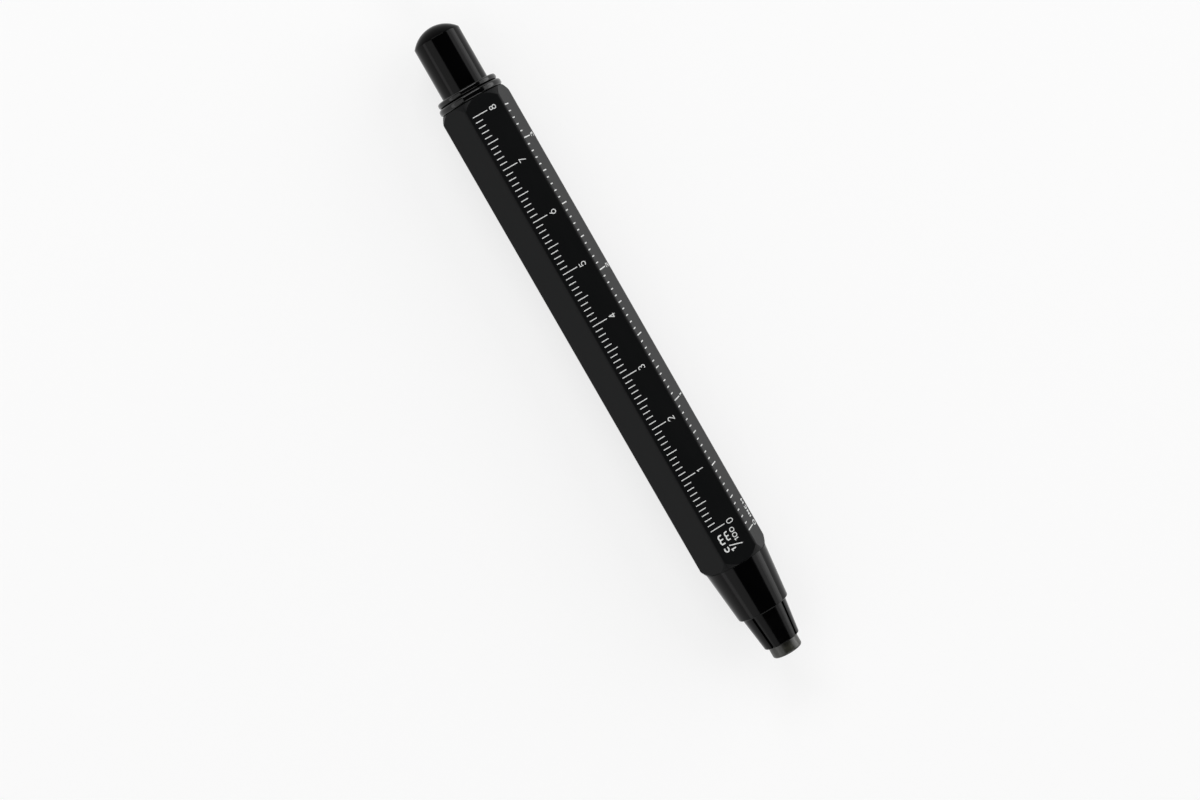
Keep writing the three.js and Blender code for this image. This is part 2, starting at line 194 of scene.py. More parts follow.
# Letters, drawn as strokes in a box of width and height 1. A stroke runs through points
# (x, y) and arcs (middle x and y, reach across and up, first and last angle in degrees).
# The number before the strokes is the letter's width where its height is 1.
LETTERS = {
    "0": (0.65, (((0.5, 0.66, 0.5, 0.34, 0, 180), (0.5, 0.34, 0.5, 0.34, 180, 360), (1, 0.66)),)),
    "1": (0.31, (((0, 0.84), (1, 1), (1, 0)),)),
    "2": (0.63, (((0.5, 0.72, 0.47, 0.28, 165, -35), (0.06, 0), (1, 0)),)),
    "3": (0.61, (((0.46, 0.76, 0.42, 0.24, 150, -90),), ((0.46, 0.26, 0.54, 0.26, 90, -150),))),
    "4": (0.68, (((1, 0.26), (0.04, 0.26), (0.7, 1)), ((0.7, 1), (0.7, 0)))),
    "5": (0.64, (((0.92, 1), (0.12, 1), (0.05, 0.52), (0.46, 0.32, 0.54, 0.32, 125, -150)),)),
    "6": (0.67, (((0.5, 0.32, 0.5, 0.32, 0, 360),), ((0.62, 1), (0.07, 0.48)))),
    "7": (0.63, (((0, 1), (0.96, 1), (0.25, 0)),)),
    "8": (0.64, (((0.5, 0.77, 0.42, 0.23, 0, 360),), ((0.5, 0.27, 0.5, 0.27, 0, 360),))),
    "/": (0.44, (((0, 0), (1, 1)),)),
    "c": (0.66, (((0.5, 0.5, 0.5, 0.5, 48, 312),),)),
    "m": (1.05, (
        ((0, 0), (0, 1)),
        ((0.25, 0.62, 0.25, 0.38, 180, 0), (0.5, 0)),
        ((0.75, 0.62, 0.25, 0.38, 180, 0), (1, 0)),
    )),
    "I": (0, (((0, 0), (0, 1)),)),
    "N": (0.74, (((0, 0), (0, 1)), ((0, 1), (1, 0)), ((1, 0), (1, 1)))),
    "C": (0.76, (((0.5, 0.5, 0.5, 0.5, 45, 315),),)),
    "H": (0.8, (((0, 0), (0, 1)), ((1, 0), (1, 1)), ((0, 0.5), (1, 0.5)))),
}
ARC_STEP = 12
MITRE_LIMIT = 2.2

# Black lacquer: how far its specular level goes on each piece, and the waves in it. The beads' raised level
# is a painted highlight and the dome's lowered level is painted shade.
GLOSS_SHINE = 0.13
# The beads' shine is a painted highlight: the same lacquer, made to reflect more so that their crests catch
# brighter lines.
BEAD_HIGHLIGHT_SHINE = 0.32
# The dome's shine is painted shade: the same lacquer, made to reflect less so that the dome reads darker.
DOME_SHADE_SHINE = 0.03
WAVE_SIZE = 2.6 * MM
WAVE_DEPTH = 0.0035 * MM

# Camera and picture
CAMERA_PLACE = Vector((25.91, 81.87, 393.03)) * MM
CAMERA_TARGET = Vector((-7.3, 6.64, 5.86)) * MM
PENCIL_LEAN = math.radians(29.94)
LENS = 69.9
SENSOR = 36

# Room: its floor and wall glow for the camera, by near and far values
ROOM_COLOUR = (0.28, 0.28, 0.28)
ROOM_RADIUS = 2.5
ROOM_SIDES = 64
WALL_HEIGHT = 0.75
GLOW_START = 1.0
FLOOR_GLOW = (0.73, 0.88)
WALL_GLOW = (0.88, 0.88)
DIM_WORLD = 0.02

# Lamps: each softbox has its bearing from +X and its lean from straight above in degrees,
# its width and height in metres, and its brightness
LAMP_DISTANCE = 1.1
SOFTBOXES = (
    ("bare_flat_side_softbox", 90, 61, 1.5, 1.0, 1.25),
    ("inch_rule_side_softbox", -90, 53, 1.5, 0.34, 1.9),
    ("inch_rule_side_window", -90, 75, 1.5, 0.5, 2.9),
    ("button_end_softbox", 0, 56, 1.0, 0.36, 6.0),
    ("nose_end_softbox", 180, 56, 1.0, 0.4, 2.5),
)

# Steps of the meshes
SIDES = 144
ROUND_STEPS = 7
CORNER_STEPS = 28
BORE_SIDES = 96
JAW_STEPS = 24
DOME_STEPS = 18
COIL_STEPS = 32
WIRE_SIDES = 12
SMOOTH_ANGLE = math.radians(28)
MERGE_GAP = 0.0005 * MM


# Node trees

def add_node(tree, kind, inputs=None, **settings):
    """Adds a node, sets its options, and links or sets its inputs, which are named or numbered."""
    node = tree.nodes.new(kind)
    for option, value in settings.items():
        setattr(node, option, value)
    for key, value in (inputs or {}).items():
        if isinstance(value, bpy.types.NodeSocket):
            tree.links.new(value, node.inputs[key])
        else:
            node.inputs[key].default_value = value
    return node


def maths(tree, operation, *values):
    """The result of one maths node."""
    return add_node(tree, "ShaderNodeMath", dict(enumerate(values)), operation=operation).outputs[0]


def shape_tree(name, inputs):
    """An empty geometry node tree with named inputs, and its group input node."""
    tree = bpy.data.node_groups.new(name, "GeometryNodeTree")
    for label, kind in inputs:
        tree.interface.new_socket(name=label, in_out="INPUT", socket_type=kind)
    tree.interface.new_socket(name="Geometry", in_out="OUTPUT", socket_type="NodeSocketGeometry")
    return tree, tree.nodes.new("NodeGroupInput")


def end_shape_tree(tree, given, geometry):
    """Ends a tree in Realize Instances and Set Material."""
    real = add_node(tree, "GeometryNodeRealizeInstances", {"Geometry": geometry})
    inked = add_node(tree, "GeometryNodeSetMaterial", {
        "Geometry": real.outputs["Geometry"],
        "Material": given.outputs["Finish"],
    })
    add_node(tree, "NodeGroupOutput", {"Geometry": inked.outputs["Geometry"]})


def made_by_nodes(name, tree, sizes):
    """A plain mesh object from a geometry node tree, with the tree's named inputs set."""
    maker = bpy.data.objects.new(name + "_maker", bpy.data.meshes.new(name + "_maker"))
    bpy.context.scene.collection.objects.link(maker)
    modifier = maker.modifiers.new("shape", "NODES")
    modifier.node_group = tree
    for item in tree.interface.items_tree:
        if item.in_out == "INPUT":
            modifier[item.identifier] = sizes[item.name]
    evaluated = maker.evaluated_get(bpy.context.evaluated_depsgraph_get())
    mesh = bpy.data.meshes.new_from_object(evaluated)
    maker.modifiers.remove(modifier)
    bpy.data.objects.remove(maker)
    mesh.name = name
    return linked(name, mesh)


# Meshes

def linked(name, mesh):
    """A new object with this mesh, in the scene."""
    piece = bpy.data.objects.new(name, mesh)
    bpy.context.scene.collection.objects.link(piece)
    return piece


def piece_from(name, points, faces, material):
    """A piece from points and faces, with its faces turned outwards."""
    mesh = bpy.data.meshes.new(name)
    mesh.from_pydata(points, [], faces)
    mesh.materials.append(material)
    shell = bmesh.new()
    shell.from_mesh(mesh)
    bmesh.ops.remove_doubles(shell, verts=shell.verts, dist=MERGE_GAP)
    bmesh.ops.recalc_face_normals(shell, faces=shell.faces)
    shell.to_mesh(mesh)
    shell.free()
    return linked(name, mesh)


def smoothed(piece, bevel_width=0):
    """Smooth shading that keeps the sharp edges, with those edges broken by a small bevel if asked."""
    mesh = piece.data
    mesh.polygons.foreach_set("use_smooth", [True] * len(mesh.polygons))
    mesh.set_sharp_from_angle(angle=SMOOTH_ANGLE)
    if bevel_width:
        bevel = piece.modifiers.new("edge_break", "BEVEL")
        bevel.width = bevel_width
        bevel.segments = 2
        bevel.limit_method = "ANGLE"
        bevel.angle_limit = SMOOTH_ANGLE
        bevel.use_clamp_overlap = True
    weighted = piece.modifiers.new("flat_shading", "WEIGHTED_NORMAL")
    weighted.keep_sharp = not bevel_width
    return piece


def rounded(corners):
    """The points of a section from its corners (place along X, radius, rounding)."""
    points = []
    for number, (x, radius, rounding) in enumerate(corners):
        corner = Vector((x, radius))
        if not rounding:
            points.append(corner)
            continue
        before = Vector(corners[number - 1][:2]) - corner
        after = Vector(corners[(number + 1) % len(corners)][:2]) - corner
        half = before.angle(after) / 2
        middle = corner + (before.normalized() + after.normalized()).normalized() * rounding / math.sin(half)
        start = corner + before.normalized() * rounding / math.tan(half) - middle
        end = corner + after.normalized() * rounding / math.tan(half) - middle
        turn = start.angle_signed(end)
        for step in range(ROUND_STEPS + 1):
            angle = -turn * step / ROUND_STEPS
            points.append(middle + Matrix.Rotation(angle, 2) @ start)
    return points


def on_axis(x, radius, angle):
    """The point at that place along X, radius and angle from +Y round the pencil's axis."""
    return (x, radius * math.cos(angle), AXIS_HEIGHT + radius * math.sin(angle))


def turned(name, section, material, sides=SIDES):
    """A piece turned about the pencil's axis. Its section closes on itself, or starts and ends
    on the axis."""
    points = []
    faces = []
    angles = [math.tau * side / sides for side in range(sides)]
    for x, radius in section:
        points += [on_axis(x, radius, angle) for angle in angles]
    closed = section[0][1] > 0
    for row in range(len(section) if closed else len(section) - 1):
        here = row * sides
        there = (row + 1) % len(section) * sides
        for side in range(sides):
            after = (side + 1) % sides
            faces.append((here + side, here + after, there + after, there + side))
    return smoothed(piece_from(name, points, faces, material))


# Finishes. Every pattern is laid out in the object's own coordinates, in metres.

def finish(name, **shader_values):
    """A new material: its tree, its shader with plain values set, and the object's coordinates."""
    material = bpy.data.materials.new(name)
    material.use_nodes = True
    tree = material.node_tree
    shader = tree.nodes["Principled BSDF"]
    for socket, value in shader_values.items():
        shader.inputs[socket.replace("_", " ")].default_value = value
    place = add_node(tree, "ShaderNodeTexCoord").outputs["Object"]
    return material, tree, shader, place


def noise(tree, place, size, detail=2.0):
    """Noise whose patches are about that size."""
    return add_node(tree, "ShaderNodeTexNoise", {
        "Vector": place,
        "Scale": 1 / size,
        "Detail": detail,
    }).outputs["Fac"]


def stretched(tree, place, along):
    """Coordinates that stretch a pattern along the pencil."""
    return add_node(tree, "ShaderNodeMapping", {"Vector": place, "Scale": (1 / along, 1, 1)}).outputs[0]


def between(tree, amount, low, high):
    """A value that goes from low to high with the middle half of a noise."""
    return add_node(tree, "ShaderNodeMapRange", {
        "Value": amount,
        "From Min": 0.25,
        "From Max": 0.75,
        "To Min": low,
        "To Max": high,
    }).outputs[0]


def blended(tree, amount, low, high):
    """A colour between two colours."""
    mix = add_node(tree, "ShaderNodeMix", {"Factor": amount}, data_type="RGBA")
    mix.inputs[6].default_value = (*low, 1)
    mix.inputs[7].default_value = (*high, 1)
    return mix.outputs[2]


def raised(tree, shader, height, depth):
    """Gives the shader a relief of that depth."""
    bump = add_node(tree, "ShaderNodeBump", {"Height": height, "Distance": depth, "Strength": 1.0})
    tree.links.new(bump.outputs["Normal"], shader.inputs["Normal"])


def satin_black():
    """Fine blasted and black anodised aluminium of the barrel."""
    material, tree, shader, place = finish("satin_black_anodised", Specular_IOR_Level=0.1)
    grain = noise(tree, place, 0.09 * MM, 3)
    cloud = noise(tree, stretched(tree, place, 3), 3.5 * MM, 4)
    tint = blended(tree, between(tree, cloud, 0, 1), (0.0038, 0.0042, 0.0044), (0.005, 0.0053, 0.0055))
    tree.links.new(tint, shader.inputs["Base Color"])
    rough = maths(tree, "ADD", between(tree, grain, 0.38, 0.44), between(tree, cloud, -0.015, 0.015))
    tree.links.new(rough, shader.inputs["Roughness"])
    raised(tree, shader, grain, 0.0012 * MM)
    return material


def gloss_black(name, shine):
    """Polished black lacquer with faint waves in it and a few soft smudges. Its shine is raised on the beads
    as a painted highlight and lowered on the dome as painted shade.
    """
    material, tree, shader, place = finish(name, Specular_IOR_Level=shine)
    smudge = noise(tree, stretched(tree, place, 2), 2.2 * MM, 5)
    tint = blended(tree, between(tree, smudge, 0, 1), (0.0006, 0.0006, 0.0007), (0.0011, 0.0011, 0.0012))
    tree.links.new(tint, shader.inputs["Base Color"])
    tree.links.new(between(tree, smudge, 0.09, 0.15), shader.inputs["Roughness"])
    wave = noise(tree, stretched(tree, place, 1.6), WAVE_SIZE, 1)
    raised(tree, shader, wave, WAVE_DEPTH)
    return material


def collet_black():
    """Blackened brass of the jaws, with the faint rings that the lathe left."""
    material, tree, shader, place = finish("blackened_collet", Specular_IOR_Level=0.12)
    smudge = noise(tree, place, 1.1 * MM, 4)
    tint = blended(tree, between(tree, smudge, 0, 1), (0.0006, 0.0006, 0.0007), (0.0012, 0.0012, 0.0012))
    tree.links.new(tint, shader.inputs["Base Color"])
    tree.links.new(between(tree, smudge, 0.12, 0.2), shader.inputs["Roughness"])
    ring = add_node(tree, "ShaderNodeMapping", {"Vector": place, "Scale": (1, 0.02, 0.02)}).outputs[0]
    raised(tree, shader, noise(tree, ring, 0.12 * MM, 2), 0.0006 * MM)
    return material


def graphite():
    """The lead: dark olive grey, drawn out lengthwise, with paler worn patches."""
    material, tree, shader, place = finish("graphite_lead", Specular_IOR_Level=0.55)
    streak = noise(tree, stretched(tree, place, 9), 0.16 * MM, 4)
    patch = noise(tree, place, 1.3 * MM, 4)
    worn = maths(tree, "MULTIPLY", between(tree, streak, 0.3, 1), between(tree, patch, 0, 1))
    tint = blended(tree, worn, (0.009, 0.009, 0.006), (0.042, 0.042, 0.032))
    tree.links.new(tint, shader.inputs["Base Color"])
    tree.links.new(between(tree, patch, 0.26, 0.38), shader.inputs["Roughness"])
    raised(tree, shader, streak, 0.004 * MM)
    return material


def white_ink():
    """The white print of the rules, a little uneven as screen print is."""
    material, tree, shader, place = finish("white_print_ink", Specular_IOR_Level=0.35, Roughness=0.55)
    cover = noise(tree, place, 0.25 * MM, 3)
    tint = blended(tree, between(tree, cover, 0, 1), (0.7, 0.71, 0.7), (0.86, 0.87, 0.86))
    tree.links.new(tint, shader.inputs["Base Color"])
    raised(tree, shader, cover, 0.002 * MM)
    return material


def metal(name, colour, bright, roughness, grain_size):
    """Bare machined metal for the pieces inside."""
    material, tree, shader, place = finish(name, Metallic=1.0)
    tarnish = noise(tree, place, 1.8 * MM, 4)
    tree.links.new(blended(tree, between(tree, tarnish, 0, 1), colour, bright), shader.inputs["Base Color"])
    grain = noise(tree, stretched(tree, place, 0.2), grain_size, 3)
    tree.links.new(between(tree, grain, roughness, roughness + 0.12), shader.inputs["Roughness"])
    raised(tree, shader, grain, 0.0008 * MM)
    return material


def moulded_black():
    """Moulded black plastic of the guide bush and the sharpener."""
    material, tree, shader, place = finish("moulded_black_plastic", Specular_IOR_Level=0.45)
    grain = noise(tree, place, 0.06 * MM, 3)
    tint = blended(tree, between(tree, grain, 0, 1), (0.006, 0.006, 0.006), (0.009, 0.009, 0.009))
    tree.links.new(tint, shader.inputs["Base Color"])
    tree.links.new(between(tree, grain, 0.45, 0.6), shader.inputs["Roughness"])
    raised(tree, shader, grain, 0.002 * MM)
    return material


FINISH = {
    "barrel_black": satin_black(),
    "gloss_black": gloss_black("gloss_black_lacquer", GLOSS_SHINE),
    # The bead lacquer is the gloss lacquer with a painted highlight in its raised shine.
    "bead": gloss_black("bead_lacquer_painted_highlight", BEAD_HIGHLIGHT_SHINE),
    # The dome lacquer is the gloss lacquer with painted shade in its lowered shine.
    "dome": gloss_black("dome_lacquer_painted_shade", DOME_SHADE_SHINE),
    "collet_black": collet_black(),
    "graphite": graphite(),
    "brass": metal("bare_brass", (0.5, 0.34, 0.13), (0.68, 0.49, 0.22), 0.25, 0.05 * MM),
    "steel": metal("bright_steel", (0.42, 0.43, 0.44), (0.6, 0.61, 0.62), 0.22, 0.05 * MM),
    "black_plastic": moulded_black(),
    "ink": white_ink(),
}


def settled(piece, body, slot, *nodes):
    """The piece rides on its body and stands for those nodes. Its slot is not used."""
    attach(piece, body)
    if nodes:
        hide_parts(*nodes)
    return piece


# Barrel: a hexagonal bar whose ends are turned to a chamfer

def barrel_tree():
    """The tree that shapes a round bar into the barrel and bores it."""
    tree, given = shape_tree("hexagonal_barrel", [
        ("Across Flats", "NodeSocketFloat"),
        ("Corner Reach", "NodeSocketFloat"),
        ("Edge Radius", "NodeSocketFloat"),
        ("Length", "NodeSocketFloat"),
        ("End Face Radius", "NodeSocketFloat"),
        ("Chamfer Length", "NodeSocketFloat"),
        ("Edge Break", "NodeSocketFloat"),
        ("Bore Radius", "NodeSocketFloat"),
        ("Recess Radius", "NodeSocketFloat"),
        ("Recess Depth", "NodeSocketFloat"),
        ("Middle", "NodeSocketVector"),
        ("Steps Round", "NodeSocketInt"),
        ("Finish", "NodeSocketMaterial"),
    ])
    size = given.outputs
    bar = add_node(tree, "GeometryNodeMeshCylinder", {
        "Vertices": size["Steps Round"],
        "Side Segments": 5,
        "Radius": 1.0,
        "Depth": 1.0,
    })
    spot = add_node(tree, "ShaderNodeSeparateXYZ", {
        0: tree.nodes.new("GeometryNodeInputPosition").outputs[0],
    })

    # Each corner gathers the steps of its sixth of a turn, so that its rounding has many
    sixth = math.radians(60)
    turn = maths(tree, "DIVIDE", maths(tree, "ARCTAN2", spot.outputs["Y"], spot.outputs["X"]), sixth)
    corner = maths(tree, "ROUND", turn)
    share = maths(tree, "MULTIPLY", maths(tree, "SUBTRACT", turn, corner), 2.0)
    lean = maths(tree, "MULTIPLY", maths(tree, "MULTIPLY", share, maths(tree, "ABSOLUTE", share)), sixth / 2)
    angle = maths(tree, "ADD", maths(tree, "MULTIPLY", corner, sixth), lean)

    # Radius of the rounded hexagon: on the corner's round, or on the flat beside it
    half_flats = maths(tree, "DIVIDE", size["Across Flats"], 2.0)
    round_centre = maths(tree, "SUBTRACT", size["Corner Reach"], size["Edge Radius"])
    tilt = maths(tree, "ABSOLUTE", lean)
    off_line = maths(tree, "MULTIPLY", round_centre, maths(tree, "SINE", tilt))
    squares = maths(tree, "SUBTRACT", maths(tree, "POWER", size["Edge Radius"], 2.0),
                    maths(tree, "POWER", off_line, 2.0))
    on_round = maths(tree, "ADD", maths(tree, "MULTIPLY", round_centre, maths(tree, "COSINE", tilt)),
                     maths(tree, "SQRT", maths(tree, "MAXIMUM", squares, 0.0)))
    on_flat = maths(tree, "DIVIDE", half_flats,
                    maths(tree, "COSINE", maths(tree, "SUBTRACT", sixth / 2, tilt)))
    round_end = maths(tree, "ARCTAN2", maths(tree, "MULTIPLY", size["Edge Radius"], math.sin(sixth / 2)),
                      maths(tree, "ADD", round_centre,
                            maths(tree, "MULTIPLY", size["Edge Radius"], math.cos(sixth / 2))))
    is_round = maths(tree, "LESS_THAN", tilt, round_end)
    hexagon = maths(tree, "ADD", maths(tree, "MULTIPLY", on_round, is_round),
                    maths(tree, "MULTIPLY", on_flat, maths(tree, "SUBTRACT", 1.0, is_round)))

    # The bar's rows lie at 0.5, 0.3 and 0.1 of its depth from its middle. The first go to the
    # end face, the next to where the chamfer meets the hexagon, the last along the body.
    end_radius = maths(tree, "MINIMUM", size["End Face Radius"],
                       maths(tree, "SUBTRACT", hexagon, size["Edge Break"]))
    slope = maths(tree, "DIVIDE", maths(tree, "SUBTRACT", size["Corner Reach"], size["End Face Radius"]),
                  size["Chamfer Length"])
    chamfer = maths(tree, "DIVIDE", maths(tree, "SUBTRACT", hexagon, end_radius), slope)
    reach = maths(tree, "ABSOLUTE", spot.outputs["Z"])
    is_end = maths(tree, "GREATER_THAN", reach, 0.4)
    is_body = maths(tree, "LESS_THAN", reach, 0.2)
    radius = maths(tree, "ADD", maths(tree, "MULTIPLY", end_radius, is_end),
                   maths(tree, "MULTIPLY", hexagon, maths(tree, "SUBTRACT", 1.0, is_end)))
    inset = maths(tree, "MULTIPLY", chamfer, maths(tree, "SUBTRACT", 1.0, is_end))
    third = maths(tree, "DIVIDE", size["Length"], 3.0)
    inset = maths(tree, "ADD", inset, maths(tree, "MULTIPLY", third, is_body))
    half_length = maths(tree, "DIVIDE", size["Length"], 2.0)
    along = maths(tree, "MULTIPLY", maths(tree, "SIGN", spot.outputs["Z"]),
                  maths(tree, "SUBTRACT", half_length, inset))
    shaped = add_node(tree, "GeometryNodeSetPosition", {
        "Geometry": bar.outputs["Mesh"],
        "Position": add_node(tree, "ShaderNodeCombineXYZ", {
            "X": along,
            "Y": maths(tree, "MULTIPLY", radius, maths(tree, "COSINE", angle)),
            "Z": maths(tree, "MULTIPLY", radius, maths(tree, "SINE", angle)),
        }).outputs[0],
    })

    # The bore and the recess for the thread at each end
    recess_place = maths(tree, "SUBTRACT", half_length, maths(tree, "DIVIDE", size["Recess Depth"], 2.0))
    cuts = []
    for radius_name, length, place in (
        ("Bore Radius", maths(tree, "ADD", size["Length"], 2 * DRILL_OVERRUN), 0.0),
        ("Recess Radius", maths(tree, "ADD", size["Recess Depth"], DRILL_OVERRUN),
         maths(tree, "ADD", recess_place, DRILL_OVERRUN / 2)),
        ("Recess Radius", maths(tree, "ADD", size["Recess Depth"], DRILL_OVERRUN),
         maths(tree, "SUBTRACT", maths(tree, "MULTIPLY", recess_place, -1.0), DRILL_OVERRUN / 2)),
    ):
        drill = add_node(tree, "GeometryNodeMeshCylinder", {
            "Vertices": BORE_SIDES,
            "Radius": size[radius_name],
            "Depth": length,
        })
        cuts.append(add_node(tree, "GeometryNodeTransform", {
            "Geometry": drill.outputs["Mesh"],
            "Rotation": (0, math.radians(90), 0),
            "Translation": add_node(tree, "ShaderNodeCombineXYZ", {"X": place}).outputs[0],
        }))
    bored = add_node(tree, "GeometryNodeMeshBoolean", {"Mesh 1": shaped.outputs["Geometry"]},
                     operation="DIFFERENCE", solver="EXACT")
    for cut in cuts:
        tree.links.new(cut.outputs["Geometry"], bored.inputs["Mesh 2"])
    placed = add_node(tree, "GeometryNodeTransform", {
        "Geometry": bored.outputs["Mesh"],
        "Translation": size["Middle"],
    })
    end_shape_tree(tree, given, placed.outputs["Geometry"])
    return tree


def make_barrel():
    """The barrel's tube, bored and chamfered at both ends."""
    barrel = made_by_nodes("barrel_tube", barrel_tree(), {
        "Across Flats": ACROSS_FLATS,
        "Corner Reach": CORNER_REACH,
        "Edge Radius": EDGE_RADIUS,
        "Length": REAR_END - FRONT_END,
        "End Face Radius": END_FACE_RADIUS,
        "Chamfer Length": END_CHAMFER,
        "Edge Break": EDGE_BREAK,
        "Bore Radius": BORE_RADIUS,
        "Recess Radius": RECESS_RADIUS,
        "Recess Depth": RECESS_DEPTH,
        "Middle": ((FRONT_END + REAR_END) / 2, 0, AXIS_HEIGHT),
        "Steps Round": 6 * CORNER_STEPS,
        "Finish": FINISH["barrel_black"],
    })
    smoothed(barrel)
    settled(barrel, "barrel", "barrel_black", "barrel")


# Nose cone, collet and lead

def make_nose_cone():
    """The cone outside, and inside the neck's bore, the chamber, the throat and the collet's seat."""
    taper = (JAW_HEAD_RADIUS - LEG_OUTER_RADIUS) / BACK_TAPER
    jaw_head = NOSE_TIP - SEAT_GAP
    mouth = JAW_HEAD_RADIUS + COLLET_CLEARANCE - (NOSE_TIP - jaw_head) * taper
    throat = jaw_head + (JAW_HEAD_RADIUS + COLLET_CLEARANCE - THROAT_RADIUS) / taper
    section = rounded([
        (NOSE_TIP, mouth + MOUTH_CHAMFER, MOUTH_ROUND),
        (NOSE_TIP, NOSE_TIP_RADIUS, NOSE_RIM_ROUND),
        (FRONT_END - SEAT_GAP, END_FACE_RADIUS, SEAT_ROUND),
        (FRONT_END - SEAT_GAP, NECK_RADIUS, 0),
        (NECK_END, NECK_RADIUS, 0),
        (NECK_END, NECK_BORE_RADIUS, 0),
        (FRONT_END + CHAMBER_END, NECK_BORE_RADIUS, 0),
        (FRONT_END + CHAMBER_END, CHAMBER_RADIUS, 0),
        (throat + THROAT_FLARE, CHAMBER_RADIUS, 0),
        (throat, THROAT_RADIUS, 0),
        (NOSE_TIP + MOUTH_CHAMFER, mouth, 0),
    ])
    settled(turned("nose_cone_shell", section, FINISH["gloss_black"]), "barrel", "gloss_black", "nose_cone")


def jaw_section():
    """The section that all jaws share."""
    jaw_head = NOSE_TIP - SEAT_GAP
    grip_end = JAW_FRONT + JAW_GRIP_LENGTH
    return rounded([
        (JAW_FRONT, JAW_GRIP_RADIUS, JAW_GRIP_ROUND),
        (JAW_FRONT, JAW_TIP_RADIUS, JAW_TIP_ROUND),
        (jaw_head, JAW_HEAD_RADIUS, JAW_SHOULDER_ROUND),
        (jaw_head + BACK_TAPER, LEG_OUTER_RADIUS, 0),
        (JAW_ROOT, LEG_OUTER_RADIUS, 0),
        (JAW_ROOT, LEG_INNER_RADIUS, 0),
        (grip_end + JAW_LEAD_IN, LEG_INNER_RADIUS, 0),
        (grip_end, JAW_GRIP_RADIUS, 0),
    ])


def make_jaw(number):
    """One jaw: the part of the turned collet between two sawn slits."""
    section = jaw_section()
    middle = math.radians(90 + 360 / JAW_COUNT * (number - 1)) + COLLET_TURN
    points = []
    for column in range(JAW_STEPS + 1):
        side = 2 * column / JAW_STEPS - 1
        for x, radius in section:
            half = math.pi / JAW_COUNT - math.asin(SLIT_WIDTH / 2 / radius)
            points.append(on_axis(x, radius, middle + side * half))
    count = len(section)
    faces = [tuple(range(count)), tuple(range(JAW_STEPS * count, (JAW_STEPS + 1) * count))]
    for column in range(JAW_STEPS):
        here = column * count
        for row in range(count):
            after = (row + 1) % count
            faces.append((here + row, here + after, here + count + after, here + count + row))
    name = "collet_jaw_%d" % number
    jaw = smoothed(piece_from(name + "_shell", points, faces, FINISH["collet_black"]), JAW_EDGE_BREAK)
    settled(jaw, "jaw_%d" % number, "collet_black", name)


def make_lead():
    """The stick of lead, rounded at its tip."""
    section = rounded([
        (LEAD_TIP, 0, 0),
        (LEAD_TIP, LEAD_RADIUS, LEAD_TIP_ROUND),
        (LEAD_TAIL - LEAD_TAIL_CHAMFER, LEAD_RADIUS, 0),
        (LEAD_TAIL, LEAD_RADIUS - LEAD_TAIL_CHAMFER, 0),
        (LEAD_TAIL, 0, 0),
    ])
    settled(turned("lead_stick", section, FINISH["graphite"]), "lead", "graphite", "lead")


# Clamp ring, rear collar and push button

def make_clamp_ring():
    """The larger bead, a plain ring against the barrel's rear end, in the lacquer with a painted highlight.
    """
    section = rounded([
        (RING_FRONT, RECESS_RADIUS, 0),
        (RING_FRONT, RING_RADIUS, RING_ROUND),
        (RING_REAR, RING_RADIUS, RING_ROUND),
        (RING_REAR, RECESS_RADIUS, 0),
    ])
    settled(turned("clamp_ring_bead", section, FINISH["bead"]), "barrel", "gloss_black", "clamp_ring")


def make_rear_collar():
    """The smaller bead, the head of the bush that guides the button, in the lacquer with a painted
    highlight.
    """
    bore = BUTTON_RADIUS + SLIDE_CLEARANCE
    head = COLLAR_REAR - COLLAR_HEAD_WIDTH
    section = rounded([
        (COLLAR_FRONT, bore, 0),
        (COLLAR_FRONT, COLLAR_NECK_RADIUS, 0),
        (head, COLLAR_NECK_RADIUS, 0),
        (head, COLLAR_RADIUS, COLLAR_ROUND),
        (COLLAR_REAR, COLLAR_RADIUS, COLLAR_ROUND),
        (COLLAR_REAR, bore, COLLAR_LIP_ROUND),
    ])
    settled(turned("rear_collar_bead", section, FINISH["bead"]), "barrel", "gloss_black", "rear_collar")


def make_push_button():
    """The button's cap, hollow below, with a low dome in the lacquer whose lowered shine is painted shade
    that darkens it.
    """
    rim = BUTTON_APEX - BUTTON_DOME_HEIGHT
    bore = BUTTON_RADIUS - BUTTON_WALL
    bore_end = rim - BUTTON_END_WALL
    dome_radius = (BUTTON_RADIUS ** 2 + BUTTON_DOME_HEIGHT ** 2) / (2 * BUTTON_DOME_HEIGHT)
    full = math.asin(BUTTON_RADIUS / dome_radius)
    dome = []
    for step in range(DOME_STEPS + 1):
        angle = full * step / DOME_STEPS
        dome.append((BUTTON_APEX - dome_radius * (1 - math.cos(angle)), dome_radius * math.sin(angle), 0))
    dome[-1] = (*dome[-1][:2], BUTTON_RIM_ROUND)
    section = rounded([
        *dome,
        (BUTTON_FRONT + BUTTON_SKIRT_CHAMFER, BUTTON_RADIUS, 0),
        (BUTTON_FRONT, BUTTON_RADIUS - BUTTON_SKIRT_CHAMFER, 0),
        (BUTTON_FRONT, bore, 0),
        (bore_end, bore, 0),
        (bore_end, 0, 0),
    ])
    cap = turned("push_button_cap", section, FINISH["gloss_black"])
    # The dome's faces take the lacquer with painted shade, which reflects less.
    cap.data.materials.append(FINISH["dome"])
    for face in cap.data.polygons:
        face.material_index = int(face.center.x > rim)
    settled(cap, "pusher", "gloss_black", "push_button")


# Return spring: a wire coil with closed ends

